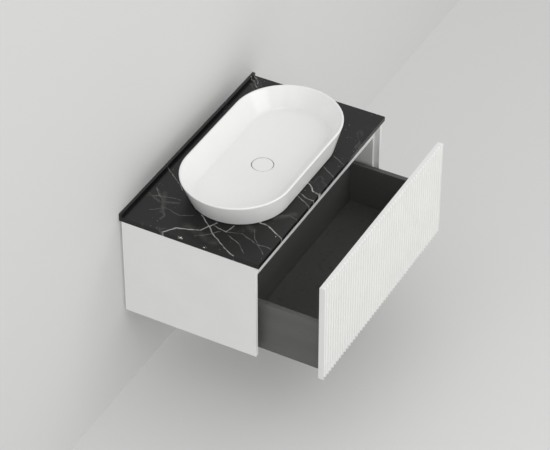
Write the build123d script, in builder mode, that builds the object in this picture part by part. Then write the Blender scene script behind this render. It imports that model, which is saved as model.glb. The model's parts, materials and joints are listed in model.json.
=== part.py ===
# Wall-hung bathroom vanity: a stone top with a vessel basin over a cabinet with one fluted drawer.
# Frame, in mm: X to the right as seen from the room, +Y into the wall, +Z up. The wall is the plane
# Y = 0. The origin is the middle of the four screw holes that hold the two wall plates.
# The drawer stands partly open, by drawer_open.
import os
from build123d import *

# Overall sizes
width = 800
depth = 460
cabinet_height = 336
cabinet_top = 40  # underside of the stone top, above the wall plate holes

# Stone top
slab_thickness = 15
slab_overhang = 10  # past the front edges of the side panels
slab_round = 0.8
upstand_height = 11
upstand_thickness = 9

# Cabinet
wall_gap = 8  # between the wall and the back edges of the cabinet
panel_thickness = 12  # outer side panels
carcass_thickness = 14  # inner sides that carry the drawer
rail_thickness = 16
front_rebate = 16  # how far the inner sides stand back from the outer panels
front_rail_height = 58
rear_rail_height = 80
rear_rail_drop = 75  # top of the rear rail, below the cabinet's top
lower_rail_height = 60
panel_round = 0.6

# Drawer
front_thickness = 18
front_side_gap = 3
front_top_gap = 4
front_drop = 10  # the front's lower edge, below the cabinet, is the finger grip
flute_count = 50
flute_depth = 6.5
flute_land = 2.4
drawer_gap = 11  # between the drawer and the inner sides
drawer_board = 16
drawer_side_height = 174
drawer_lift = 4  # drawer sides' lower edge above the cabinet's lower edge
drawer_length = 290
base_thickness = 12
base_recess = 13  # under the drawer base, for the slides
groove_depth = 6
drawer_open = 212

# Slides, seen from the front, from the cabinet's side inwards
slide_length = 280
slide_sheet = 1.5
slide_flange_height = 34
slide_set_in = 2  # behind the inner sides' front edges
slide_hat_width = 22
slide_hat_gap = 2  # between the drawer side and the drawer rail
middle_width = 14
middle_length = 270
track_width = 6
glide_clearance = 0.3
glide_length = 24

# Basin and waste
rim_length = 640
rim_width = 342
rim_wall = 6
rim_band = 4  # height of the upright edge of the rim
basin_height = 86
foot_length = 568
foot_width = 307
foot_round = 6
basin_center_y = -254
bowl_floor_length = 560  # where the falling floor meets the walls
bowl_floor_width = 254
bowl_edge_rise = 21  # of that line above the stone top
bowl_floor_rise = 12.5  # of the bowl's lowest point above the stone top
bowl_round = 14
seat_diameter = 69
seat_depth = 8.5
waste_hole_gap = 1.55  # radial, round the thread
flange_diameter = 66
flange_thickness = 2
gasket_thickness = 1.5
waste_thread = 41.9
waste_wall = 3.45
waste_tail = 42  # below the stone top
hub_diameter = 16
hub_height = 12
spider_width = 4
cartridge_diameter = 11
cartridge_height = 26
stem_diameter = 6
stem_clearance = 0.05
cap_diameter = 64
cap_thickness = 5
plug_gap = 1.4  # between the flange and the cap when the waste is shut
plug_seal_diameter = 50
lock_nut_flats = 58
lock_nut_height = 10
cone_seal_height = 6

# Trap
pipe_diameter = 32
pipe_wall = 2
pipe_bend = 36
tail_nut_diameter = 54
tail_nut_height = 22
arm_drop = 96  # centre line of the pipe to the back, below the cabinet's top
trap_y = -80
trap_diameter = 62
trap_wall = 3
trap_top_drop = 160
trap_height = 62
cup_height = 44
outlet_drop = 192
outlet_past_wall = 30
pipe_nut_diameter = 46
pipe_nut_height = 18
escutcheon_diameter = 70
escutcheon_depth = 12

# Hangers
hanger_width = 48
hanger_height = 56
hanger_depth = 16
hanger_set_in = 24  # behind surface of the hanger to the wall
hook_width = 24
hook_thickness = 3
plate_width = 60
plate_sheet = 2
plate_jog = 4
plate_bottom = -28
plate_ledge = 18
plate_lip = 30
wall_hole_diameter = 6.5
wall_hole_pitch = 24

# Fasteners
screw_fit = 0.05  # radial, round a shank
dowel_diameter = 8
dowel_length = 30

# Derived places
cabinet_bottom = cabinet_top - cabinet_height
slab_top = cabinet_top + slab_thickness
panel_front_y = slab_overhang - depth
back_y = -wall_gap
carcass_front_y = panel_front_y + front_rebate
carcass_outer_x = width / 2 - panel_thickness
carcass_inner_x = carcass_outer_x - carcass_thickness
rear_rail_top = cabinet_top - rear_rail_drop
rear_rail_y = back_y - rail_thickness

front_half = carcass_outer_x - front_side_gap
front_top = cabinet_top - front_top_gap
front_bottom = cabinet_bottom - front_drop
front_back_y = carcass_front_y - drawer_open  # room side of the drawer box
front_face_y = front_back_y - front_thickness
drawer_outer_x = carcass_inner_x - drawer_gap
drawer_inner_x = drawer_outer_x - drawer_board
drawer_bottom = cabinet_bottom + drawer_lift
drawer_top = drawer_bottom + drawer_side_height
drawer_back_y = front_back_y + drawer_length
base_bottom = drawer_bottom + base_recess
base_top = base_bottom + base_thickness

slide_front_y = carcass_front_y + slide_set_in
slide_web_top = cabinet_bottom + slide_sheet
hat_outer_x = drawer_inner_x - slide_hat_gap
slide_x = hat_outer_x - slide_hat_width / 2
hat_top = base_bottom
hat_bottom = slide_web_top + 1
middle_top = hat_top - slide_sheet - 3
middle_bottom = hat_bottom
track_top = middle_top - slide_sheet - 2
middle_front_y = slide_front_y + 2 - drawer_open / 2
hat_front_y = slide_front_y - drawer_open

flange_bottom = slab_top + bowl_floor_rise - seat_depth + gasket_thickness
flange_top = flange_bottom + flange_thickness
waste_bottom = cabinet_top - waste_tail
cap_bottom = flange_top + plug_gap
hub_top = flange_bottom - 6
arm_z = cabinet_top - arm_drop
outlet_z = cabinet_top - outlet_drop
trap_top = cabinet_top - trap_top_drop
trap_bottom = trap_top - trap_height
hanger_x = carcass_inner_x - hanger_width / 2
hanger_top = plate_lip + 4

waste_hole = waste_thread + 2 * waste_hole_gap
waste_bore = waste_thread - 2 * waste_wall
waste_at = (0, basin_center_y)
center = (Align.CENTER, Align.CENTER, Align.CENTER)
standing = (Align.CENTER, Align.CENTER, Align.MIN)
hanging = (Align.CENTER, Align.CENTER, Align.MAX)


def save(builder, label):
    builder.part.label = label
    export_step(builder.part, f"parts/{label}.step")


def block(low, high, mode=Mode.ADD):
    # a box between two corners, in the part that is open
    size = [b - a for a, b in zip(low, high)]
    with Locations(low):
        Box(*size, align=(Align.MIN, Align.MIN, Align.MIN), mode=mode)


def drill(places, diameter, deep):
    # round holes that fit a shank, down from each place
    with Locations(*places):
        Cylinder(diameter / 2 + screw_fit, deep, align=hanging, mode=Mode.SUBTRACT)


def sink(places, diameter, deep):
    # seats for screw heads
    with Locations(*places):
        Cylinder(diameter / 2, deep, align=hanging, mode=Mode.SUBTRACT)


def screws(label, places, head, head_height, shank, length):
    # a group of equal screws, each place being the underside of a head, with Z out of the head
    slot = (head * 0.7, head * 0.14, head_height * 0.6)
    with BuildPart() as group:
        with Locations(*places):
            Cylinder(head / 2, head_height, align=standing)
            Cylinder(shank / 2, length, align=hanging)
        with Locations(*[place * Location((0, 0, head_height)) for place in places]):
            Box(*slot, align=hanging, mode=Mode.SUBTRACT)
            Box(slot[1], slot[0], slot[2], align=hanging, mode=Mode.SUBTRACT)
    save(group, label)


def facing(point, direction):
    return Plane(point, z_dir=direction).location


def mirrored(builder, label):
    with BuildPart() as other:
        add(mirror(builder.part, about=Plane.YZ, mode=Mode.PRIVATE))
    save(other, label)


os.makedirs("parts", exist_ok=True)

# Screw places, used both by the screws and by the boards that they hold
rail_screw_head, rail_screw_shank, rail_screw_length = (10, 5), 5, 44
rail_levels = [
    (carcass_front_y + rail_thickness / 2, cabinet_top - front_rail_height * 0.25),
    (carcass_front_y + rail_thickness / 2, cabinet_top - front_rail_height * 0.75),
    (rear_rail_y + rail_thickness / 2, rear_rail_top - rear_rail_height * 0.2),
    (rear_rail_y + rail_thickness / 2, rear_rail_top - rear_rail_height * 0.8),
    (rear_rail_y + rail_thickness / 2, cabinet_bottom + lower_rail_height * 0.25),
    (rear_rail_y + rail_thickness / 2, cabinet_bottom + lower_rail_height * 0.75),
]


def rail_places(side, inset=0.0):
    x = side * (carcass_outer_x - inset)
    return [facing((x, y, z), (side, 0, 0)) for y, z in rail_levels]


panel_screw_levels = [
    (y, z)
    for y in (carcass_front_y + 60, rear_rail_y - 60)
    for z in (cabinet_top - 70, cabinet_bottom + 90)
]


def panel_places(side):
    return [facing((side * carcass_inner_x, y, z), (-side, 0, 0)) for y, z in panel_screw_levels]


slide_screw_z = slide_web_top + slide_flange_height * 0.6
slide_screw_ys = [slide_front_y + slide_length * share for share in (0.12, 0.5, 0.88)]
flange_face_x = carcass_inner_x - slide_sheet


def slide_places(side):
    return [facing((side * flange_face_x, y, slide_screw_z), (-side, 0, 0)) for y in slide_screw_ys]


hanger_plate_depth = 34
hanger_screw_y = -hanger_set_in - hanger_depth - hanger_plate_depth / 2 + 4
hanger_screw_zs = [hanger_top - hanger_height * share for share in (0.25, 0.75)]
hanger_face_x = carcass_inner_x - plate_sheet


def hanger_places(side):
    return [
        facing((side * hanger_face_x, hanger_screw_y, z), (-side, 0, 0)) for z in hanger_screw_zs
    ]


# Stone top, with the hole for the waste, and its upstand along the wall
with BuildPart() as countertop:
    block((-width / 2, -depth, cabinet_top), (width / 2, 0, slab_top))
    with Locations((*waste_at, slab_top)):
        Hole(waste_hole / 2)
    outer_edges = countertop.edges().filter_by(GeomType.LINE)
    fillet(outer_edges.filter_by(lambda edge: edge.center().Y < -1), slab_round)
save(countertop, "countertop")

with BuildPart() as back_upstand:
    block((-width / 2, -upstand_thickness, slab_top), (width / 2, 0, slab_top + upstand_height))
    front_edge = back_upstand.edges().filter_by(Axis.X).sort_by(Axis.Z)[-2:].sort_by(Axis.Y)[0]
    fillet(front_edge, slab_round)
save(back_upstand, "back_upstand")

# Bowl: the space inside the basin. Its walls lean in towards a floor that falls to the waste.
bowl_floor_z = slab_top + bowl_floor_rise
rim_z = slab_top + basin_height
seat_radius = seat_diameter / 2


bowl_levels = [
    (bowl_floor_z, seat_diameter + 1, seat_diameter),
    (slab_top + bowl_edge_rise, bowl_floor_length, bowl_floor_width),
    (rim_z, rim_length - 2 * rim_wall, rim_width - 2 * rim_wall),
]
with BuildPart() as bowl:
    for height, length, breadth in bowl_levels:
        with BuildSketch(Plane.XY.offset(height)):
            with Locations(waste_at):
                SlotOverall(length, breadth)
    loft(ruled=True)
    edge_band = (slab_top + bowl_edge_rise - 0.1, slab_top + bowl_edge_rise + 0.1)
    fillet(bowl.edges().filter_by_position(Axis.Z, *edge_band), bowl_round)

with BuildPart() as basin:
    for height, length, breadth in (
        (slab_top, foot_length, foot_width),
        (rim_z - rim_band, rim_length, rim_width),
    ):
        with BuildSketch(Plane.XY.offset(height)):
            with Locations(waste_at):
                SlotOverall(length, breadth)
    loft()
    extrude(basin.faces().sort_by(Axis.Z)[-1], amount=rim_band)
    fillet(basin.faces().sort_by(Axis.Z)[0].edges(), foot_round)
    add(bowl.part, mode=Mode.SUBTRACT)
    fillet(basin.faces().sort_by(Axis.Z)[-1].edges(), rim_wall * 0.42)
    with Locations((*waste_at, bowl_floor_z)):
        Cylinder(seat_radius, seat_depth, align=hanging, mode=Mode.SUBTRACT)
        Cylinder(waste_hole / 2, 2 * bowl_floor_rise, align=center, mode=Mode.SUBTRACT)
save(basin, "basin")

# Outer side panels
with BuildPart() as right_side_panel:
    block((carcass_outer_x, panel_front_y, cabinet_bottom), (width / 2, back_y, cabinet_top))
    drill(panel_places(1), 3.5, carcass_thickness + 9)
    front_edges = right_side_panel.faces().sort_by(Axis.Y)[0].edges().filter_by(Axis.Z)
    fillet(front_edges, panel_round)
save(right_side_panel, "right_side_panel")
mirrored(right_side_panel, "left_side_panel")

# Inner sides, which carry the rails, the slides and the hangers
with BuildPart() as right_carcass_side:
    block(
        (carcass_inner_x, carcass_front_y, cabinet_bottom),
        (carcass_outer_x, back_y, cabinet_top),
    )
    sink(rail_places(1), *rail_screw_head)
    drill(rail_places(1), rail_screw_shank, 2 * carcass_thickness)
    drill(panel_places(1), 3.5, 2 * carcass_thickness)
    drill(slide_places(1), 3.5, slide_sheet + 11)
    drill(hanger_places(1), 4.5, plate_sheet + 11)
save(right_carcass_side, "right_carcass_side")
mirrored(right_carcass_side, "left_carcass_side")


def cross_rail(label, front_y, low, high):
    # a board between the inner sides, screwed through them at both ends
    with BuildPart() as rail:
        block((-carcass_inner_x, front_y, low), (carcass_inner_x, front_y + rail_thickness, high))
        for side in (-1, 1):
            drill(rail_places(side), rail_screw_shank, rail_screw_length + 8)
    save(rail, label)


cross_rail("top_front_rail", carcass_front_y, cabinet_top - front_rail_height, cabinet_top)
cross_rail("rear_upper_rail", rear_rail_y, rear_rail_top - rear_rail_height, rear_rail_top)
cross_rail("rear_lower_rail", rear_rail_y, cabinet_bottom, cabinet_bottom + lower_rail_height)

head_inset = rail_screw_head[1]
screws(
    "rail_screws",
    rail_places(-1, head_inset) + rail_places(1, head_inset),
    rail_screw_head[0] - 0.4,
    rail_screw_head[1],
    rail_screw_shank,
    rail_screw_length,
)
screws("panel_screws", panel_places(-1) + panel_places(1), 8, 2.2, 3.5, carcass_thickness + 8)

# Drawer front: a board whose face is cut with vertical flutes from edge to edge
flute_pitch = 2 * front_half / flute_count
flute_chord = flute_pitch - flute_land
flute_radius = (flute_chord**2 / 4 + flute_depth**2) / (2 * flute_depth)
front_screw_xs = [share * drawer_inner_x for share in (-0.9, -0.3, 0.3, 0.9)]
front_screw_zs = [drawer_bottom + drawer_side_height * share for share in (0.35, 0.8)]
front_screw_places = [
    facing((x, front_back_y + drawer_board, z), (0, 1, 0))
    for x in front_screw_xs
    for z in front_screw_zs
]
front_screw_length = drawer_board + front_thickness - flute_depth - 3
with BuildPart() as drawer_front:
    with BuildSketch(Plane.XY.offset(front_bottom)):
        with Locations((0, (front_face_y + front_back_y) / 2)):
            Rectangle(2 * front_half, front_thickness)
        with Locations((0, front_face_y - flute_radius + flute_depth)):
            with GridLocations(flute_pitch, 1, flute_count, 1):
                Circle(flute_radius, mode=Mode.SUBTRACT)
    extrude(amount=front_top - front_bottom)
    drill(front_screw_places, 4, front_screw_length + 1)
save(drawer_front, "drawer_front")

# Drawer box
base_front_y = front_back_y + drawer_board
base_back_y = drawer_back_y - drawer_board
dowel_zs = [drawer_bottom + drawer_side_height * share for share in (0.25, 0.55, 0.85)]
dowel_ys = [front_back_y + drawer_board / 2, drawer_back_y - drawer_board / 2]


def dowel_places(side):
    x = side * (drawer_inner_x + dowel_length / 3)
    return [facing((x, y, z), (side, 0, 0)) for y in dowel_ys for z in dowel_zs]


with BuildPart() as drawer_right_side:
    block(
        (drawer_inner_x, front_back_y, drawer_bottom),
        (drawer_outer_x, drawer_back_y, drawer_top),
    )
    block(
        (drawer_inner_x, front_back_y - 1, base_bottom),
        (drawer_inner_x + groove_depth, drawer_back_y + 1, base_top),
        mode=Mode.SUBTRACT,
    )
    drill(dowel_places(1), dowel_diameter, dowel_length)
    fillet(drawer_right_side.faces().sort_by(Axis.Z)[-1].edges().filter_by(Axis.Y), panel_round)
save(drawer_right_side, "drawer_right_side")
mirrored(drawer_right_side, "drawer_left_side")


def cross_board(label, front_y, screw_places, low):
    # the front and back of the drawer box, between its sides
    with BuildPart() as board:
        block((-drawer_inner_x, front_y, low), (drawer_inner_x, front_y + drawer_board, drawer_top))
        for side in (-1, 1):
            drill(dowel_places(side), dowel_diameter, dowel_length)
        if screw_places:
            drill(screw_places, 4, 2 * drawer_board)
        fillet(board.faces().sort_by(Axis.Z)[-1].edges().filter_by(Axis.X), panel_round)
    save(board, label)


cross_board("drawer_inner_front", front_back_y, front_screw_places, base_bottom)
cross_board("drawer_back", base_back_y, [], base_top)
screws("front_screws", front_screw_places, 8, 2.2, 4, front_screw_length)

with BuildPart() as drawer_dowels:
    with Locations(*dowel_places(-1), *dowel_places(1)):
        Cylinder(dowel_diameter / 2, dowel_length, align=hanging)
save(drawer_dowels, "drawer_dowels")

hat_screw_ys = [hat_front_y + slide_length * share for share in (0.2, 0.8)]
hat_screw_places = [
    facing((side * slide_x, y, hat_top - slide_sheet), (0, 0, -1))
    for side in (-1, 1)
    for y in hat_screw_ys
]
with BuildPart() as drawer_base:
    edge_x = drawer_inner_x + groove_depth
    block((-edge_x, base_front_y, base_bottom), (edge_x, base_back_y, base_top))
    block(
        (-drawer_inner_x, base_back_y, base_bottom),
        (drawer_inner_x, drawer_back_y, base_top),
    )
    drill(hat_screw_places, 3.5, slide_sheet + 9)
save(drawer_base, "drawer_base")


# Slides under the drawer: a rail on the cabinet, a middle rail that runs on it, and a drawer rail
# that runs on the middle one. The middle rail goes half as far as the drawer.
def hat(half_width, low, high, front_y, length):
    # a channel that is open below
    block((-half_width, front_y, low), (half_width, front_y + length, high))
    inner = half_width - slide_sheet
    block(
        (-inner, front_y - 1, low - 1),
        (inner, front_y + length + 1, high - slide_sheet),
        mode=Mode.SUBTRACT,
    )


def shifted(builder, label):
    # the same rail on the left and on the right, from one that is centred on X = 0
    for side, name in ((-1, "left"), (1, "right")):
        with BuildPart() as placed:
            add(builder.part.moved(Location((side * slide_x, 0, 0))))
        save(placed, f"{name}_{label}")


with BuildPart() as right_cabinet_rail:
    slide_back_y = slide_front_y + slide_length
    block(
        (slide_x - slide_hat_width / 2, slide_front_y, cabinet_bottom),
        (carcass_inner_x, slide_back_y, slide_web_top),
    )
    block(
        (flange_face_x, slide_front_y, cabinet_bottom),
        (carcass_inner_x, slide_back_y, slide_web_top + slide_flange_height),
    )
    block(
        (slide_x - track_width / 2, slide_front_y, cabinet_bottom),
        (slide_x + track_width / 2, slide_back_y, track_top),
    )
    drill(slide_places(1), 3.5, 2 * slide_sheet)
save(right_cabinet_rail, "right_cabinet_rail")
mirrored(right_cabinet_rail, "left_cabinet_rail")
screws("slide_screws", slide_places(-1) + slide_places(1), 7, 1.8, 3.5, slide_sheet + 10)

with BuildPart() as middle_rail:
    hat(middle_width / 2, middle_bottom, middle_top, middle_front_y, middle_length)
shifted(middle_rail, "middle_rail")

# Nylon glides on the middle rail, inside it against the track and outside it against the drawer rail
glide_ys = [middle_front_y + 6, middle_front_y + middle_length - 6 - glide_length]
inner_half = middle_width / 2 - slide_sheet
outer_half = slide_hat_width / 2 - slide_sheet - glide_clearance
with BuildPart() as glides:
    for y in glide_ys:
        block((-inner_half, y, middle_bottom + 1), (inner_half, y + glide_length, middle_top - slide_sheet))
        block((-outer_half, y, middle_bottom + 2), (outer_half, y + glide_length, middle_top))
        block(
            (-middle_width / 2, y - 1, middle_bottom - 1),
            (middle_width / 2, y + glide_length + 1, middle_top),
            mode=Mode.SUBTRACT,
        )
        block((-inner_half, y, middle_bottom + 1), (inner_half, y + glide_length, middle_top - slide_sheet))
        track_half = track_width / 2 + glide_clearance
        block(
            (-track_half, y - 1, middle_bottom - 1),
            (track_half, y + glide_length + 1, track_top + glide_clearance),
            mode=Mode.SUBTRACT,
        )
shifted(glides, "rail_glides")

for side, name in ((-1, "left"), (1, "right")):
    with BuildPart() as drawer_rail:
        hat(slide_hat_width / 2, hat_bottom, hat_top, hat_front_y, slide_length)
        drawer_rail.part = drawer_rail.part.moved(Location((side * slide_x, 0, 0)))
        drill(hat_screw_places, 3.5, 2 * slide_sheet)
    save(drawer_rail, f"{name}_drawer_rail")
screws("drawer_rail_screws", hat_screw_places, 7, 1.2, 3.5, slide_sheet + 8)

# Waste: body with its flange in the bowl, gaskets, lock nut, click cartridge and sprung cap
waste_axis = Axis((*waste_at, 0), (0, 0, 1))
waste_plane = Plane.XZ.offset(-basin_center_y)


def ring(outer, inner, low, high):
    # a ring round the waste's axis, in the part that is open
    with Locations((*waste_at, low)):
        Cylinder(outer / 2, high - low, align=standing)
        Cylinder(inner / 2, high - low, align=standing, mode=Mode.SUBTRACT)


with BuildPart() as waste_body:
    with BuildSketch(waste_plane):
        with BuildLine():
            Polyline(
                (waste_bore / 2, waste_bottom),
                (waste_thread / 2, waste_bottom),
                (waste_thread / 2, flange_bottom),
                (flange_diameter / 2, flange_bottom),
                (flange_diameter / 2, flange_top - 0.8),
                (flange_diameter / 2 - 1.2, flange_top),
                (waste_bore / 2 + 3, flange_top),
                (waste_bore / 2, flange_top - 3),
                close=True,
            )
        make_face()
    revolve(axis=waste_axis)
    with BuildSketch(Plane.XY.offset(hub_top - hub_height)):
        with Locations(waste_at):
            with PolarLocations(waste_bore / 4 + 1, 3):
                Rectangle(waste_bore / 2, spider_width)
            Circle(hub_diameter / 2)
            Circle(cartridge_diameter / 2 + screw_fit, mode=Mode.SUBTRACT)
    extrude(amount=hub_height)
save(waste_body, "waste_body")

cartridge_top = hub_top + 3
with BuildPart() as click_cartridge:
    ring(cartridge_diameter, stem_diameter + 2 * stem_clearance, hub_top - cartridge_height, cartridge_top)
    ring(cartridge_diameter + 3, stem_diameter + 2 * stem_clearance, hub_top, cartridge_top)
save(click_cartridge, "click_cartridge")

with BuildPart() as waste_cap:
    with Locations((*waste_at, cap_bottom)):
        Cylinder(cap_diameter / 2, cap_thickness, align=standing)
    fillet(waste_cap.faces().sort_by(Axis.Z)[-1].edges(), cap_thickness * 0.5)
    chamfer(waste_cap.faces().sort_by(Axis.Z)[0].edges(), 0.8)
save(waste_cap, "waste_cap")

stem_bottom = hub_top - cartridge_height + 2
with BuildPart() as plug_stem:
    with Locations((*waste_at, stem_bottom)):
        Cylinder(stem_diameter / 2, cap_bottom - stem_bottom, align=standing)
save(plug_stem, "plug_stem")

with BuildPart() as plug_seal:
    ring(plug_seal_diameter, plug_seal_diameter - 8, flange_top + glide_clearance, cap_bottom)
save(plug_seal, "plug_seal")

with BuildPart() as upper_gasket:
    ring(flange_diameter - 4, waste_thread + 1, flange_bottom - gasket_thickness, flange_bottom)
save(upper_gasket, "upper_gasket")

with BuildPart() as cone_seal:
    ring(waste_hole + 12, waste_thread + 0.4, cabinet_top - cone_seal_height, cabinet_top)
    chamfer(cone_seal.edges().sort_by(Axis.Z)[-1], 2)
save(cone_seal, "cone_seal")

lock_nut_top = cabinet_top - cone_seal_height
with BuildPart() as lock_nut:
    with BuildSketch(Plane.XY.offset(lock_nut_top - lock_nut_height)):
        with Locations(waste_at):
            RegularPolygon(lock_nut_flats / 2, 6, major_radius=False)
            Circle(waste_thread / 2 + screw_fit, mode=Mode.SUBTRACT)
    extrude(amount=lock_nut_height)
save(lock_nut, "lock_nut")

# Trap: a pipe to the back over the drawer, and a bottle between the drawer and the wall
with BuildPart() as tail_nut:
    ring(tail_nut_diameter, pipe_diameter + 0.6, waste_bottom - tail_nut_height + 12, waste_bottom + 12)
    with Locations((*waste_at, waste_bottom)):
        Cylinder(waste_thread / 2 + 0.1, 12, align=standing, mode=Mode.SUBTRACT)
    chamfer(tail_nut.faces().sort_by(Axis.Z)[0].edges(), 1.5)
save(tail_nut, "tail_nut")


def pipe(label, points, radius):
    with BuildPart() as tube:
        with BuildLine():
            FilletPolyline(*points, radius=radius)
        with BuildSketch(Plane(points[0], z_dir=Vector(*points[1]) - Vector(*points[0]))):
            Circle(pipe_diameter / 2)
            Circle(pipe_diameter / 2 - pipe_wall, mode=Mode.SUBTRACT)
        sweep()
    save(tube, label)


pipe(
    "trap_arm",
    [
        (*waste_at, waste_bottom),
        (*waste_at, arm_z),
        (0, trap_y, arm_z),
        (0, trap_y, trap_top - trap_height + 14),
    ],
    pipe_bend,
)

trap_at = (0, trap_y)
trap_neck = pipe_nut_diameter - 8
with BuildPart() as trap_body:
    with BuildSketch(Plane.XY.offset(trap_bottom)):
        with Locations(trap_at):
            Circle(trap_diameter / 2)
    extrude(amount=trap_height)
    with Locations((*trap_at, trap_bottom)):
        Cylinder(
            trap_diameter / 2 - trap_wall,
            trap_height - trap_wall,
            align=standing,
            mode=Mode.SUBTRACT,
        )
    with Locations((*trap_at, trap_top)):
        Cylinder(trap_neck / 2, 12, align=standing)
        Cylinder(pipe_diameter / 2 + 0.3, 40, align=center, mode=Mode.SUBTRACT)
    with Locations(facing((0, trap_y + trap_diameter / 2 - 1, outlet_z), (0, 1, 0))):
        Cylinder(trap_neck / 2, 14, align=standing)
    with Locations(facing((0, trap_y + trap_diameter / 4, outlet_z), (0, 1, 0))):
        Cylinder(pipe_diameter / 2 + 0.3, 40, align=standing, mode=Mode.SUBTRACT)
save(trap_body, "trap_body")

with BuildPart() as trap_cup:
    with Locations((*trap_at, trap_bottom)):
        Cylinder(trap_diameter / 2, cup_height, align=hanging)
        Cylinder(trap_diameter / 2 - trap_wall, cup_height - trap_wall, align=hanging, mode=Mode.SUBTRACT)
    fillet(trap_cup.faces().sort_by(Axis.Z)[0].edges(), 8)
save(trap_cup, "trap_cup")

outlet_start_y = trap_y + trap_diameter / 2 + 1
with BuildPart() as trap_inlet_nut:
    with Locations((*trap_at, trap_top + 1)):
        Cylinder(pipe_nut_diameter / 2, pipe_nut_height, align=standing)
        Cylinder(trap_neck / 2 + 0.1, 11, align=standing, mode=Mode.SUBTRACT)
        Cylinder(pipe_diameter / 2 + 0.3, 60, align=center, mode=Mode.SUBTRACT)
    chamfer(trap_inlet_nut.faces().sort_by(Axis.Z)[-1].edges().sort_by(SortBy.RADIUS)[-1], 1.5)
save(trap_inlet_nut, "trap_inlet_nut")

with BuildPart() as trap_outlet_nut:
    with Locations(facing((0, outlet_start_y + 1, outlet_z), (0, 1, 0))):
        Cylinder(pipe_nut_diameter / 2, pipe_nut_height, align=standing)
        Cylinder(trap_neck / 2 + 0.1, 11, align=standing, mode=Mode.SUBTRACT)
        Cylinder(pipe_diameter / 2 + 0.3, 60, align=center, mode=Mode.SUBTRACT)
save(trap_outlet_nut, "trap_outlet_nut")

with BuildPart() as outlet_pipe:
    with BuildSketch(Plane((0, outlet_start_y, outlet_z), z_dir=(0, 1, 0))):
        Circle(pipe_diameter / 2)
        Circle(pipe_diameter / 2 - pipe_wall, mode=Mode.SUBTRACT)
    extrude(amount=outlet_past_wall - outlet_start_y)
save(outlet_pipe, "outlet_pipe")

with BuildPart() as wall_escutcheon:
    with BuildSketch(Plane.YZ):
        with BuildLine():
            bore = pipe_diameter / 2 + 0.3
            Polyline(
                (0, outlet_z + bore),
                (0, outlet_z + escutcheon_diameter / 2),
                (-2, outlet_z + escutcheon_diameter / 2),
                (-escutcheon_depth, outlet_z + bore + 4),
                (-escutcheon_depth, outlet_z + bore),
                close=True,
            )
        make_face()
    revolve(axis=Axis((0, 0, outlet_z), (0, 1, 0)))
save(wall_escutcheon, "wall_escutcheon")

# Hangers in the two upper back corners, and the wall plates that they hook on to
hanger_front_y = -hanger_set_in - hanger_depth
hanger_bottom = hanger_top - hanger_height
hook_bottom = plate_lip
adjust_places = [
    facing((side * hanger_x + dx, hanger_front_y, hanger_top - hanger_height * 0.55), (0, -1, 0))
    for side in (-1, 1)
    for dx in (-12, 12)
]
with BuildPart() as right_hanger:
    block(
        (carcass_inner_x - hanger_width, hanger_front_y, hanger_bottom),
        (carcass_inner_x, -hanger_set_in, hanger_top),
    )
    block(
        (hanger_face_x, hanger_front_y - hanger_plate_depth, hanger_bottom),
        (carcass_inner_x, -hanger_set_in, hanger_top),
    )
    block(
        (hanger_x - hook_width / 2, hanger_front_y + 4, hook_bottom),
        (hanger_x + hook_width / 2, 0, hook_bottom + hook_thickness),
        mode=Mode.SUBTRACT,
    )
    drill(hanger_places(1), 4.5, 2 * plate_sheet)
    drill(adjust_places, 6, 13)
save(right_hanger, "right_hanger")
mirrored(right_hanger, "left_hanger")

with BuildPart() as right_hook:
    block(
        (hanger_x - hook_width / 2, hanger_front_y + 4, hook_bottom),
        (hanger_x + hook_width / 2, -1, hook_bottom + hook_thickness),
    )
    block(
        (hanger_x - hook_width / 2, -1 - hook_thickness + 0.5, plate_ledge + plate_sheet + 1),
        (hanger_x + hook_width / 2, -1, hook_bottom),
    )
save(right_hook, "right_hook")
mirrored(right_hook, "left_hook")

screws("adjusting_screws", adjust_places, 9, 2, 6, 12)
screws("hanger_screws", hanger_places(-1) + hanger_places(1), 8, 2.2, 4.5, plate_sheet + 10)

jog_y = -plate_sheet - plate_jog
with BuildPart() as right_wall_plate:
    left_x = hanger_x - plate_width / 2
    right_x = hanger_x + plate_width / 2
    block((left_x, -plate_sheet, plate_bottom), (right_x, 0, plate_ledge + plate_sheet))
    block((left_x, jog_y, plate_ledge), (right_x, 0, plate_ledge + plate_sheet))
    block((left_x, jog_y, plate_ledge), (right_x, jog_y + plate_sheet, plate_lip))
    with Locations(
        *[facing((hanger_x, 0, side * wall_hole_pitch / 2), (0, 1, 0)) for side in (-1, 1)]
    ):
        Cylinder(wall_hole_diameter / 2, 10, align=center, mode=Mode.SUBTRACT)
save(right_wall_plate, "right_wall_plate")
mirrored(right_wall_plate, "left_wall_plate")
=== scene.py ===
import json
import math

import bmesh
import bpy
from mathutils import Matrix, Vector


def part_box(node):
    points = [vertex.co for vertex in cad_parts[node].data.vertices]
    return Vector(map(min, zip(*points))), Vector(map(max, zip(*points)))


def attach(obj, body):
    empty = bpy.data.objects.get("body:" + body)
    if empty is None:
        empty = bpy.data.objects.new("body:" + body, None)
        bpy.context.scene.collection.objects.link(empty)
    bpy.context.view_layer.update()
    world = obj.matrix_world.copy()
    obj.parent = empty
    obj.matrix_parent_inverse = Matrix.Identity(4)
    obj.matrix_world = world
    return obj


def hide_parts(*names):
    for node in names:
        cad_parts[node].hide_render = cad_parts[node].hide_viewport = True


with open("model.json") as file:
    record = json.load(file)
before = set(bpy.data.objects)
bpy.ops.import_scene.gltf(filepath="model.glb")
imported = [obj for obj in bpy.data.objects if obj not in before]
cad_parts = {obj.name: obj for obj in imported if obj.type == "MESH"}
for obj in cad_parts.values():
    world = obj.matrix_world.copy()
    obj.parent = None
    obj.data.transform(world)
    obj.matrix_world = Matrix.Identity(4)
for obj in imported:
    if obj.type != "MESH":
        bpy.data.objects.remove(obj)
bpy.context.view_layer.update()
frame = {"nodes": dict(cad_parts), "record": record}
nodes = frame["nodes"]
print("frame loaded,", len(nodes), "parts")

mm = 0.001
weld = 0.005 * mm  # points closer than this are one


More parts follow.
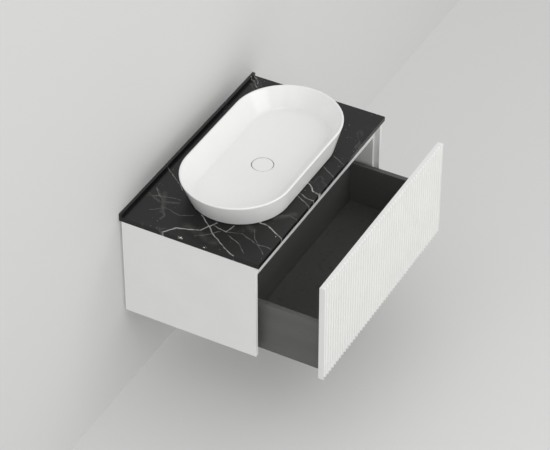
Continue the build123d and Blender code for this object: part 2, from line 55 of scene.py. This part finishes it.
def linear(hexCode):
    # sRGB hex to the linear colour that the shader wants
    parts = [int(hexCode[i : i + 2], 16) / 255 for i in (1, 3, 5)]
    return tuple(((c + 0.055) / 1.055) ** 2.4 if c > 0.04045 else c / 12.92 for c in parts) + (1.0,)


cameraSet = {
    "place": (-4.9201, -2.96812, 4.41231),
    "right": (0.476888, -0.878964, -0.000589),
    "forward": (0.681367, 0.370104, -0.631476),
    "lens": 157.09,  # on a 36 mm wide sensor
}


def makeCamera(choice):
    data = bpy.data.cameras.new("camera")
    data.sensor_width = 36
    data.lens = choice["lens"]
    data.clip_end = 100
    right = Vector(choice["right"]).normalized()
    back = -Vector(choice["forward"]).normalized()
    turn = Matrix((right, back.cross(right), back)).transposed()
    eye = bpy.data.objects.new("camera", data)
    eye.matrix_world = Matrix.Translation(choice["place"]) @ turn.to_4x4()
    bpy.context.collection.objects.link(eye)
    bpy.context.scene.camera = eye


makeCamera(cameraSet)
print("camera placed")


def addNode(tree, kind, settings=None, links=None):
    # settings go to the node's own fields or to its sockets, links join sockets to other nodes
    node = tree.nodes.new("ShaderNode" + kind)
    for key, value in (settings or {}).items():
        if isinstance(key, str) and hasattr(node, key):
            setattr(node, key, value)
        else:
            node.inputs[key].default_value = value
    for key, source in (links or {}).items():
        tree.links.new(source, node.inputs[key])
    return node


def newMaterial(name, settings):
    made = bpy.data.materials.new(name)
    made.use_nodes = True
    tree = made.node_tree
    shader = tree.nodes["Principled BSDF"]
    for key, value in settings.items():
        shader.inputs[key].default_value = value
    place = addNode(tree, "TexCoord").outputs["Object"]
    return made, tree, shader, place


stageSet = {
    "floorLevel": -0.605,
    "wallGap": 0.4 * mm,
    "reach": 14.0,
    "floorColour": "#dadad9",
    "wallColour": "#d4d4d3",
}


def stagePaint(name, colour):
    # Rolled matt emulsion paint, and nothing when seen from behind
    paint, tree, shader, place = newMaterial(name, {"Roughness": 0.9, "Specular IOR Level": 0.2})
    shader.inputs["Base Color"].default_value = linear(colour)
    roller = addNode(tree, "TexNoise", {"Scale": 160.0, "Detail": 2.0}, {"Vector": place})
    bump = addNode(tree, "Bump", {"Distance": 0.02 * mm}, {"Height": roller.outputs["Fac"]})
    tree.links.new(bump.outputs["Normal"], shader.inputs["Normal"])
    facing = addNode(tree, "NewGeometry")
    clear = addNode(tree, "BsdfTransparent")
    mix = addNode(
        tree,
        "MixShader",
        links={0: facing.outputs["Backfacing"], 1: shader.outputs[0], 2: clear.outputs[0]},
    )
    tree.links.new(mix.outputs[0], tree.nodes["Material Output"].inputs["Surface"])
    return paint


def makeStage(choice):
    reach = choice["reach"]
    boards = {
        "studioFloor": (choice["floorColour"], Matrix.Translation((0, 0, choice["floorLevel"]))),
        "studioWall": (
            choice["wallColour"],
            Matrix.Translation((0, choice["wallGap"], choice["floorLevel"] + reach / 2))
            @ Matrix.Rotation(math.radians(90), 4, "X"),
        ),
    }
    for name, (colour, at) in boards.items():
        bm = bmesh.new()
        bmesh.ops.create_grid(bm, x_segments=1, y_segments=1, size=reach / 2, matrix=at)
        mesh = bpy.data.meshes.new(name)
        bm.to_mesh(mesh)
        bm.free()
        mesh.materials.append(stagePaint(name, colour))
        board = bpy.data.objects.new(name, mesh)
        bpy.context.collection.objects.link(board)
        if name == "studioWall":  # seen, but lets the light of the room past
            board.visible_diffuse = False
            board.visible_glossy = False
            board.visible_shadow = False


makeStage(stageSet)

lightSet = {
    "sky": 0.7,
    "lamps": [  # place, aimed at, width, watts
        ((-2.4, -3.4, 3.2), (0, -0.3, 0.0), 2.6, 36),
        ((1.8, -3.2, 2.6), (0, -0.3, 0.0), 2.6, 18),
        ((-3.8, -0.6, 1.8), (0, -0.3, 0.0), 2.4, 6),
        ((0.0, -4.0, 0.6), (0, -0.3, 0.0), 2.4, 29),
    ],
}


def makeLight(choice):
    world = bpy.data.worlds.new("studio")
    bpy.context.scene.world = world
    world.use_nodes = True
    sky = world.node_tree.nodes["Background"]
    sky.inputs["Color"].default_value = (1, 1, 1, 1)
    sky.inputs["Strength"].default_value = choice["sky"]
    for number, (place, target, size, watts) in enumerate(choice["lamps"]):
        lamp = bpy.data.lights.new(f"softbox{number}", "AREA")
        lamp.size = size
        lamp.energy = watts
        body = bpy.data.objects.new(lamp.name, lamp)
        body.location = place
        body.rotation_euler = (Vector(target) - Vector(place)).to_track_quat("-Z", "Y").to_euler()
        bpy.context.collection.objects.link(body)


makeLight(lightSet)
bpy.context.scene.view_settings.view_transform = "Standard"
print("stage and light made")


marbleSet = {
    "stone": ("#0f0f0f", "#1b1b1a"),
    "vein": "#bdbab6",
    "crystal": "#e4dcd6",
    # veins on the top: brightness, half width in mm, then the points that the vein runs through
    "veins": [
        (0.78, 2.6, ((-398, -147), (-365, -171), (-342, -237), (-314, -249), (-289, -262))),
        (0.7, 2.2, ((-280, -205), (-289, -218), (-338, -278), (-376, -333), (-398, -378))),
        (0.62, 2.0, ((-302, -257), (-309, -278), (-312, -306), (-277, -313))),
        (0.9, 2.8, ((-222, -350), (-230, -377), (-229, -397), (-265, -462))),
        (0.85, 2.3, ((2, -395), (-2, -412), (-26, -438), (-36, -460), (-22, -463))),
        (0.62, 2.0, ((-50, -395), (-56, -413), (-65, -438), (-65, -462))),
        (0.6, 1.9, ((-60, -395), (-70, -413), (-84, -442), (-100, -465))),
        (0.3, 1.8, ((95, -405), (76, -434), (58, -462))),
        (0.26, 1.8, ((154, -410), (140, -438), (125, -465))),
        (0.36, 2.2, ((-137, -11), (-165, -50), (-185, -77), (-205, -100))),
        (0.3, 2.0, ((-232, -27), (-262, -57))),
        (0.55, 2.0, ((394, -8), (379, -30), (366, -38))),
        (0.55, 2.0, ((377, -8), (373, -21), (349, -44))),
        (0.3, 1.8, ((-322, -318), (-342, -362), (-372, -398))),
        (0.26, 1.8, ((-372, -235), (-352, -262), (-318, -290))),
        (0.24, 1.7, ((-312, -306), (-296, -352), (-322, -410), (-318, -455))),
        (0.2, 1.6, ((-262, -372), (-300, -392), (-352, -448))),
        (0.22, 1.6, ((-276, -18), (-258, -60), (-246, -118))),
        (0.18, 1.6, ((-330, -60), (-300, -96), (-312, -150), (-290, -188))),
        (0.2, 1.6, ((-180, -402), (-160, -428), (-168, -462))),
    ],
    # cloudy trails, where the calcite is only just under the face
    "clouds": [
        (0.12, 6.0, ((-239, -36), (-272, -72), (-305, -90), (-332, -114), (-352, -112))),
        (0.1, 7.0, ((-262, -20), (-283, -66), (-262, -120))),
        (0.08, 12.0, ((-240, -60), (-285, -84), (-320, -96))),
        (0.07, 16.0, ((-190, -400), (-150, -440))),
        (0.06, 18.0, ((-250, -330), (-270, -370))),
        (0.06, 20.0, ((-340, -190), (-372, -300))),
    ],
    # pockets of crystal at the left edge and by the wall: place, reach in mm
    "pockets": [((-400, -205, 54), (8, 17, 8)), ((-400, -282, 54), (7, 19, 8)), ((377, -3, 62), (12, 9, 6))],
    "pocketLift": 0.35,  # what a pocket adds to the grain noise at its middle
    "crystalFrom": (0.78, 0.83),  # the noise at which a grain starts to show and is full
    "hairWidths": ((3.1, 0.009), (6.3, 0.007)),  # scale of a sheet of noise, half width of its line
    "bend": 0.012,  # how far the noise bends a vein, m
    "veinCore": 0.45,  # share of a vein's half width that is full, a cloud has none
}


def blackMarble(choice):
    # Cut and polished limestone: a near black ground, thin calcite veins, and a clear polish
    stone, tree, shader, place = newMaterial(
        "polishedBlackMarble", {"Roughness": 0.3, "IOR": 1.5, "Specular IOR Level": 0.32}
    )
    wobble = addNode(tree, "TexNoise", {"Scale": 28.0, "Detail": 3.0}, {"Vector": place})
    centred = addNode(
        tree, "VectorMath", {"operation": "SUBTRACT", 1: (0.5, 0.5, 0.5)}, {0: wobble.outputs["Color"]}
    )
    bent = addNode(
        tree,
        "VectorMath",
        {"operation": "MULTIPLY_ADD", 1: (choice["bend"],) * 3},
        {0: centred.outputs[0], 2: place},
    ).outputs[0]
    soft = addNode(tree, "TexNoise", {"Scale": 60.0, "Detail": 3.0}, {"Vector": place})
    broken = addNode(
        tree,
        "MapRange",
        {"From Min": 0.36, "From Max": 0.54, "To Min": 0.35, "To Max": 1.0},
        {"Value": soft.outputs["Fac"]},
    ).outputs[0]

    def spindle(at, reach):
        # bright at its middle, nothing past its reach
        spot = addNode(
            tree,
            "Mapping",
            {
                "vector_type": "TEXTURE",
                "Location": [c * mm for c in at],
                "Scale": [c * mm for c in reach],
            },
            {"Vector": bent},
        )
        glow = addNode(tree, "TexGradient", {"gradient_type": "SPHERICAL"}, {"Vector": spot.outputs[0]})
        return glow.outputs["Fac"]

    def brightest(first, second):
        if first is None:
            return second
        return addNode(tree, "Math", {"operation": "MAXIMUM"}, {0: first, 1: second}).outputs[0]

    flat = addNode(tree, "VectorMath", {"operation": "MULTIPLY", 1: (1, 1, 0)}, {0: bent}).outputs[0]

    def distanceTo(run):
        # how far a point is from the nearest stretch of a vein, seen from above
        nearest = None
        for start, end in zip(run, run[1:]):
            origin = Vector((*start, 0)) * mm
            stretch = Vector((*end, 0)) * mm - origin
            away = addNode(tree, "VectorMath", {"operation": "SUBTRACT", 1: origin}, {0: flat})
            share = addNode(
                tree,
                "VectorMath",
                {"operation": "DOT_PRODUCT", 1: stretch / stretch.length_squared},
                {0: away.outputs[0]},
            )
            held = addNode(tree, "Clamp", links={"Value": share.outputs["Value"]})
            foot = addNode(
                tree, "VectorMath", {"operation": "SCALE", 0: stretch}, {"Scale": held.outputs[0]}
            )
            gap = addNode(
                tree, "VectorMath", {"operation": "DISTANCE"}, {0: away.outputs[0], 1: foot.outputs[0]}
            ).outputs["Value"]
            nearest = gap if nearest is None else addNode(
                tree, "Math", {"operation": "MINIMUM"}, {0: nearest, 1: gap}
            ).outputs[0]
        return nearest

    total = None
    for kind, core in (("veins", choice["veinCore"]), ("clouds", 0.0)):
        for strength, half, run in choice[kind]:
            lit = addNode(
                tree,
                "MapRange",
                {
                    "interpolation_type": "SMOOTHSTEP",
                    "From Min": half * core * mm,
                    "From Max": half * mm,
                    "To Min": strength,
                    "To Max": 0.0,
                },
                {"Value": distanceTo(run)},
            )
            total = brightest(total, lit.outputs[0])
    total = addNode(tree, "Math", {"operation": "MULTIPLY"}, {0: total, 1: broken}).outputs[0]
    # hair veins all over, where two sheets of noise cross their middle value
    hairs = None
    for scale, width in choice["hairWidths"]:
        sheet = addNode(
            tree, "TexNoise", {"Scale": scale, "Detail": 5.0, "Roughness": 0.62}, {"Vector": bent}
        )
        away = addNode(tree, "Math", {"operation": "SUBTRACT", 1: 0.5}, {0: sheet.outputs["Fac"]})
        near = addNode(tree, "Math", {"operation": "ABSOLUTE"}, {0: away.outputs[0]})
        line = addNode(
            tree, "MapRange", {"From Max": width, "To Min": 1.0, "To Max": 0.0}, {"Value": near.outputs[0]}
        )
        hairs = brightest(hairs, line.outputs[0])
    patches = addNode(tree, "TexNoise", {"Scale": 5.0, "Detail": 2.0}, {"Vector": place})
    patchy = addNode(
        tree,
        "MapRange",
        {"From Min": 0.5, "From Max": 0.75, "To Min": 0.0, "To Max": 0.26},
        {"Value": patches.outputs["Fac"]},
    )
    faint = addNode(tree, "Math", {"operation": "MULTIPLY"}, {0: hairs, 1: patchy.outputs[0]})
    lines = brightest(total, faint.outputs[0])
    dark, light = choice["stone"]
    ground = addNode(
        tree,
        "Mix",
        {"data_type": "RGBA", 6: linear(dark), 7: linear(light)},
        {0: patches.outputs["Fac"]},
    )
    veined = addNode(
        tree, "Mix", {"data_type": "RGBA", 7: linear(choice["vein"])}, {0: lines, 6: ground.outputs[2]}
    )
    # pockets of crystal: grains of 2 to 4 mm inside a soft spot
    grains = addNode(tree, "TexNoise", {"Scale": 210.0, "Detail": 1.0}, {"Vector": place})
    pocket = None
    for at, reach in choice["pockets"]:
        pocket = brightest(pocket, spindle(at, reach))
    ripe = addNode(
        tree,
        "Math",
        {"operation": "MULTIPLY_ADD", 1: choice["pocketLift"]},
        {0: pocket, 2: grains.outputs["Fac"]},
    )
    start, full = choice["crystalFrom"]
    crystal = addNode(
        tree, "MapRange", {"From Min": start, "From Max": full}, {"Value": ripe.outputs[0]}
    )
    speckled = addNode(
        tree,
        "Mix",
        {"data_type": "RGBA", 7: linear(choice["crystal"])},
        {0: crystal.outputs[0], 6: veined.outputs[2]},
    )
    tree.links.new(speckled.outputs[2], shader.inputs["Base Color"])
    rough = addNode(tree, "MapRange", {"To Min": 0.28, "To Max": 0.4}, {"Value": lines})
    tree.links.new(rough.outputs[0], shader.inputs["Roughness"])
    return stone


driftSet = {"scale": 9.0, "from": 0.3, "to": 0.7}


def grainFinish(name, choice):
    # Soft colour drift, a grain in bump and in gloss. grain is its size in mm, depth its height in mm,
    # along stretches it, and shader holds what is the same all over.
    skin, tree, shader, place = newMaterial(name, choice.get("shader", {}))
    grown = addNode(tree, "Mapping", {"Scale": choice.get("along", (1, 1, 1))}, {"Vector": place}).outputs[0]
    drift = addNode(tree, "TexNoise", {"Scale": driftSet["scale"], "Detail": 2.0}, {"Vector": grown})
    spread = addNode(
        tree,
        "MapRange",
        {"From Min": driftSet["from"], "From Max": driftSet["to"]},
        {"Value": drift.outputs["Fac"]},
    )
    dark, light = choice["colours"]
    tone = addNode(
        tree,
        "Mix",
        {"data_type": "RGBA", 6: linear(dark), 7: linear(light)},
        {0: spread.outputs[0]},
    )
    tree.links.new(tone.outputs[2], shader.inputs["Base Color"])
    fine = addNode(
        tree, "TexNoise", {"Scale": 1000 / choice["grain"] / 2, "Detail": 3.0}, {"Vector": grown}
    )
    low, high = choice["roughness"]
    gloss = addNode(tree, "MapRange", {"To Min": low, "To Max": high}, {"Value": fine.outputs["Fac"]})
    tree.links.new(gloss.outputs[0], shader.inputs["Roughness"])
    bump = addNode(tree, "Bump", {"Distance": choice["depth"] * mm}, {"Height": fine.outputs["Fac"]})
    tree.links.new(bump.outputs["Normal"], shader.inputs["Normal"])
    return skin, tree, shader, place, tone.outputs[2]


def glazedChina():
    # Vitreous china under a poured glaze: white, wet looking, with the faintest ripple
    return grainFinish("glazedChina", {
        "colours": ("#f3f3f1", "#f5f5f4"), "roughness": (0.09, 0.15), "grain": 14, "depth": 0.006,
        "shader": {"IOR": 1.52},
    })[0]


def sprayedLacquer():
    # Polyurethane lacquer sprayed on sanded board: matt, with a touch of orange peel
    return grainFinish("sprayedMattLacquer", {
        "colours": ("#e9e9e7", "#ececea"), "roughness": (0.42, 0.5), "grain": 5, "depth": 0.003,
        "shader": {"IOR": 1.48},
    })[0]


poreSet = {
    "scale": (60, 60, 900),  # pores 16 mm long and 1 mm high
    "shown": (0.62, 0.7),  # the noise at which a pore starts and is full
    "depth": 0.5,
    "colour": "#474745",
}


def pressedFoil():
    # Melamine foil pressed on board between steel plates: grey, dry, with short pores
    skin, tree, shader, place, tone = grainFinish("pressedAnthraciteFoil", {
        "colours": ("#575756", "#5e5e5c"), "roughness": (0.42, 0.55), "grain": 2, "depth": 0.015,
        "along": (0.3, 0.3, 2), "shader": {"IOR": 1.5},
    })
    stretched = addNode(tree, "Mapping", {"Scale": poreSet["scale"]}, {"Vector": place})
    pores = addNode(tree, "TexNoise", {"Scale": 1.0, "Detail": 1.0}, {"Vector": stretched.outputs[0]})
    start, full = poreSet["shown"]
    deep = addNode(
        tree,
        "MapRange",
        {"From Min": start, "From Max": full, "To Max": poreSet["depth"]},
        {"Value": pores.outputs["Fac"]},
    )
    pored = addNode(
        tree, "Mix", {"data_type": "RGBA", 7: linear(poreSet["colour"])}, {0: deep.outputs[0], 6: tone}
    )
    tree.links.new(pored.outputs[2], shader.inputs["Base Color"])
    return skin


def turnedBeech():
    # Beech dowels, ribbed and dry, with short rays along the grain
    return grainFinish("turnedBeech", {
        "colours": ("#c39a6b", "#d3ad7e"), "roughness": (0.5, 0.65), "grain": 1.2, "depth": 0.03,
        "along": (0.5, 3, 3),
    })[0]


spangleSet = {"scale": 240.0, "share": 0.25, "colour": "#c6c9cb"}


def zincPlatedSheet():
    # Rolled steel with a zinc plate, dull, with the soft spangle of its crystals, 4 mm or so across
    skin, tree, shader, place, tone = grainFinish("zincPlatedSheet", {
        "colours": ("#a3a7aa", "#b2b6b9"), "roughness": (0.3, 0.45), "grain": 1.5, "depth": 0.008,
        "along": (1, 0.15, 1), "shader": {"Metallic": 1.0},
    })
    spangle = addNode(tree, "TexVoronoi", {"Scale": spangleSet["scale"]}, {"Vector": place})
    shade = addNode(tree, "MapRange", {"To Max": spangleSet["share"]}, {"Value": spangle.outputs["Color"]})
    mixed = addNode(
        tree, "Mix", {"data_type": "RGBA", 7: linear(spangleSet["colour"])}, {0: shade.outputs[0], 6: tone}
    )
    tree.links.new(mixed.outputs[2], shader.inputs["Base Color"])
    return skin


def brightZincPlate():
    # Cold headed screws, plated in a barrel: bright, with the marks of other screws
    return grainFinish("brightZincPlate", {
        "colours": ("#b9bcc2", "#c6c9cd"), "roughness": (0.2, 0.32), "grain": 1, "depth": 0.01,
        "shader": {"Metallic": 1.0},
    })[0]


def mouldedNylon():
    # Injection moulded nylon, milky, light enters a little way
    return grainFinish("mouldedNylon", {
        "colours": ("#dedcd2", "#e5e3da"), "roughness": (0.4, 0.5), "grain": 1, "depth": 0.02,
        "shader": {"IOR": 1.53, "Subsurface Weight": 0.15},
    })[0]


def polishedChrome():
    # Cast brass, polished, then nickel and chrome plated
    return grainFinish("polishedChrome", {
        "colours": ("#c8cacc", "#cfd1d3"), "roughness": (0.05, 0.1), "grain": 3, "depth": 0.002,
        "shader": {"Metallic": 1.0},
    })[0]


def turnedBrass():
    # Bar brass from the lathe, with the fine rings of the tool
    return grainFinish("turnedBrass", {
        "colours": ("#b08d4f", "#c29d5c"), "roughness": (0.22, 0.34), "grain": 1.2, "depth": 0.01,
        "along": (1, 1, 8), "shader": {"Metallic": 1.0},
    })[0]


def pressedRubber():
    # Rubber pressed in a matt mould
    return grainFinish("pressedRubber", {
        "colours": ("#1d1d1e", "#242425"), "roughness": (0.6, 0.75), "grain": 1, "depth": 0.03,
        "shader": {"IOR": 1.5},
    })[0]


def mouldedPolypropylene():
    # Injection moulded polypropylene, waxy and slightly see-through at the edges
    return grainFinish("mouldedPolypropylene", {
        "colours": ("#e2e3e3", "#e8e9e9"), "roughness": (0.3, 0.42), "grain": 1.4, "depth": 0.02,
        "shader": {"IOR": 1.49, "Subsurface Weight": 0.1},
    })[0]


finishes = {
    "black_marble": blackMarble(marbleSet),
    "white_glaze": glazedChina(),
    "white_lacquer": sprayedLacquer(),
    "anthracite_board": pressedFoil(),
    "beech": turnedBeech(),
    "zinc_steel": zincPlatedSheet(),
    "zinc_screws": brightZincPlate(),
    "nylon": mouldedNylon(),
    "chrome": polishedChrome(),
    "brass": turnedBrass(),
    "black_rubber": pressedRubber(),
    "white_plastic": mouldedPolypropylene(),
}
print("materials made")

slotOf = {row["node"]: row["material_slot"] for row in frame["record"]["subparts"]}
for nodeName, part in nodes.items():
    part.data.materials.clear()
    part.data.materials.append(finishes[slotOf[nodeName]])
print("materials given")


def keepPiece(name, bm, slot, body, replaced, crease=35):
    # faces out, smooth but for edges sharper than crease, its finish, its body and what it stands for
    bmesh.ops.remove_doubles(bm, verts=bm.verts, dist=weld)
    bmesh.ops.recalc_face_normals(bm, faces=bm.faces)
    for face in bm.faces:
        face.smooth = True
    mesh = bpy.data.meshes.new(name)
    bm.to_mesh(mesh)
    bm.free()
    mesh.set_sharp_from_angle(angle=math.radians(crease))
    mesh.materials.append(finishes[slot])
    piece = bpy.data.objects.new(name, mesh)
    bpy.context.collection.objects.link(piece)
    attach(piece, body)
    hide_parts(replaced)


def turnProfile(points, steps, ring=False):
    # a lathe: the profile of radius and height points, in mm, spun round Z, closed when it is a ring
    bm = bmesh.new()
    line = [bm.verts.new((radius * mm, 0, height * mm)) for radius, height in points]
    pairs = list(zip(line, line[1:])) + ([(line[-1], line[0])] if ring else [])
    edges = [bm.edges.new(pair) for pair in pairs]
    bmesh.ops.spin(
        bm, geom=line + edges, axis=(0, 0, 1), cent=(0, 0, 0), angle=math.tau, steps=steps, use_merge=True
    )
    bmesh.ops.remove_doubles(bm, verts=bm.verts, dist=weld)
    bmesh.ops.recalc_face_normals(bm, faces=bm.faces)
    return bm


def arcPoints(centre, radius, start, stop, steps):
    # points of a round corner in a profile, angles in degrees
    spread = [math.radians(start + (stop - start) * n / steps) for n in range(steps + 1)]
    return [(centre[0] + radius * math.cos(a), centre[1] + radius * math.sin(a)) for a in spread]


facesPerRib = 4  # of the lathe, over a rib and the gap beside it
ribSet = {"share": 0.5, "draft": 0.35, "upright": 0.1}  # width of a rib, slope of its sides in mm


def raiseRibs(bm, ribs, low, high, rise):
    # upright grip ribs on the faces of a turned wall between two heights, every other sector
    chosen = []
    for face in bm.faces:
        middle = face.calc_center_median()
        if low * mm < middle.z < high * mm and abs(face.normal.z) < ribSet["upright"]:
            if face.normal.x * middle.x + face.normal.y * middle.y > 0:
                sector = (math.atan2(middle.y, middle.x) % math.tau) / math.tau * ribs
                if sector % 1 < ribSet["share"]:
                    chosen.append(face)
    bmesh.ops.inset_region(
        bm,
        faces=chosen,
        thickness=ribSet["draft"] * mm,
        depth=rise * mm,
        use_even_offset=True,
        use_boundary=True,
    )


nutSet = {
    "ribs": 24,
    "rise": 1.1,  # of a rib, mm
    "ribRise": 0.95,  # share of that, so a rib stays inside the nut's own radius
    "foot": 0.5,  # chamfer at the open end
    "band": 2,  # plain band at the open end
    "slope": 0.6,  # from the band in to the ribbed wall
    "collar": 2.6,  # plain end at the pipe
    "collarIn": 0.4,  # how much smaller that end is
    "chamfer": 1.5,
    "neckGap": 0.1,
    "pipeBore": 16.3,
    # node, axis that it is screwed along, radius of its neck, depth that the neck goes in, mm
    "nuts": [
        ("tail_nut", "tailNut", "down", 20.95, 12),
        ("trap_inlet_nut", "trapInletNut", "up", 19, 11),
        ("trap_outlet_nut", "trapOutletNut", "wall", 19, 11),
    ],
}


def makeNuts(choice):
    # Moulded union nuts with grip ribs: a neck goes in at one end and the pipe out of the other
    turns = {
        "up": Matrix.Identity(4),
        "down": Matrix.Rotation(math.pi, 4, "X"),
        "wall": Matrix.Rotation(-math.pi / 2, 4, "X"),
    }
    for node, name, way, neck, deep in choice["nuts"]:
        low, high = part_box(node)
        along = 1 if way == "wall" else 2
        radius = (high[0] - low[0]) / 2 / mm
        height = (high[along] - low[along]) / mm
        body, ending = radius - choice["rise"], radius - choice["collarIn"]
        cut, bore, recess = choice["chamfer"], choice["pipeBore"], neck + choice["neckGap"]
        foot, band, ribLow = choice["foot"], choice["band"], choice["band"] + choice["slope"]
        collar = height - choice["collar"]
        ribHigh = collar - choice["collarIn"]
        bm = turnProfile(
            [
                (recess, 0),
                (radius - foot, 0),
                (radius, foot),
                (radius, band),
                (body, ribLow),
                (body, ribHigh),
                (ending, collar),
                (ending, height - cut),
                (ending - cut, height),
                (bore, height),
                (bore, deep),
                (recess, deep),
            ],
            choice["ribs"] * facesPerRib,
            ring=True,
        )
        raiseRibs(bm, choice["ribs"], ribLow, ribHigh, choice["rise"] * choice["ribRise"])
        middle = [(a + b) / 2 for a, b in zip(low, high)]
        middle[along] = high[along] if way == "down" else low[along]
        bmesh.ops.transform(bm, matrix=Matrix.Translation(middle) @ turns[way], verts=bm.verts)
        keepPiece(name, bm, "white_plastic", "vanity", node, crease=25)


cupSet = {
    "wall": 3,
    "corner": 9,
    "cornerSteps": 8,
    "ribs": 20,
    "rise": 1.2,
    "ribRise": 0.95,
    "ribLow": 12,
    "ribHigh": 34,
    "collar": 3,
    "collarSlope": 1,
    "dimple": ((0, 1.2), (8, 1.2), (9, 0)),  # where the mould was filled, radius and height
    "floor": 3.5,
    "innerSlope": 6,
}


def makeTrapCup(choice):
    # The cup that unscrews to clean the trap: a moulded pot with ribs for the hand and a collar
    low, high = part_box("trap_cup")
    radius = (high[0] - low[0]) / 2 / mm
    height = (high[2] - low[2]) / mm
    corner, collar = choice["corner"], height - choice["collar"]
    body = radius - choice["rise"]
    inside = body - choice["wall"]
    bm = turnProfile(
        [
            *choice["dimple"],
            *arcPoints((body - corner, corner), corner, -90, 0, choice["cornerSteps"]),
            (body, choice["ribLow"]),
            (body, choice["ribHigh"]),
            (body, collar - choice["collarSlope"]),
            (radius, collar),
            (radius, height),
            (inside, height),
            (inside, corner),
            (inside - choice["innerSlope"], choice["floor"]),
            (0, choice["floor"]),
        ],
        choice["ribs"] * facesPerRib,
    )
    raiseRibs(
        bm, choice["ribs"], choice["ribLow"], choice["ribHigh"], choice["rise"] * choice["ribRise"]
    )
    middle = ((low[0] + high[0]) / 2, (low[1] + high[1]) / 2, low[2])
    bmesh.ops.translate(bm, vec=middle, verts=bm.verts)
    keepPiece("trapCup", bm, "white_plastic", "vanity", "trap_cup", crease=25)


capSet = {
    "crown": 0.8,
    "edge": 2.2,
    "edgeSteps": 6,
    "foot": 0.8,
    "steps": 96,
    "dome": (0.9, 0.75, 0.55, 0.35, 0.15),  # where the dome has its rings, as shares of its radius
}


def makeWasteCap(choice):
    # The glazed cap that is pressed to open and shut the waste: slightly domed, with a soft edge
    low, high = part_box("waste_cap")
    radius = (high[0] - low[0]) / 2 / mm
    height = (high[2] - low[2]) / mm
    edge, crown, foot = choice["edge"], choice["crown"], choice["foot"]
    shoulder = height - crown
    flatRadius = radius - edge
    bm = turnProfile(
        [
            (0, 0),
            (radius - foot, 0),
            (radius, foot),
            *arcPoints((flatRadius, shoulder - edge), edge, 0, 90, choice["edgeSteps"]),
            *((flatRadius * share, shoulder + crown * (1 - share**2)) for share in choice["dome"]),
            (0, height),
        ],
        choice["steps"],
    )
    middle = ((low[0] + high[0]) / 2, (low[1] + high[1]) / 2, low[2])
    bmesh.ops.translate(bm, vec=middle, verts=bm.verts)
    keepPiece("wasteCap", bm, "white_glaze", "plug", "waste_cap")


makeNuts(nutSet)
makeTrapCup(cupSet)
makeWasteCap(capSet)
print("waste cap, trap cup and union nuts made")
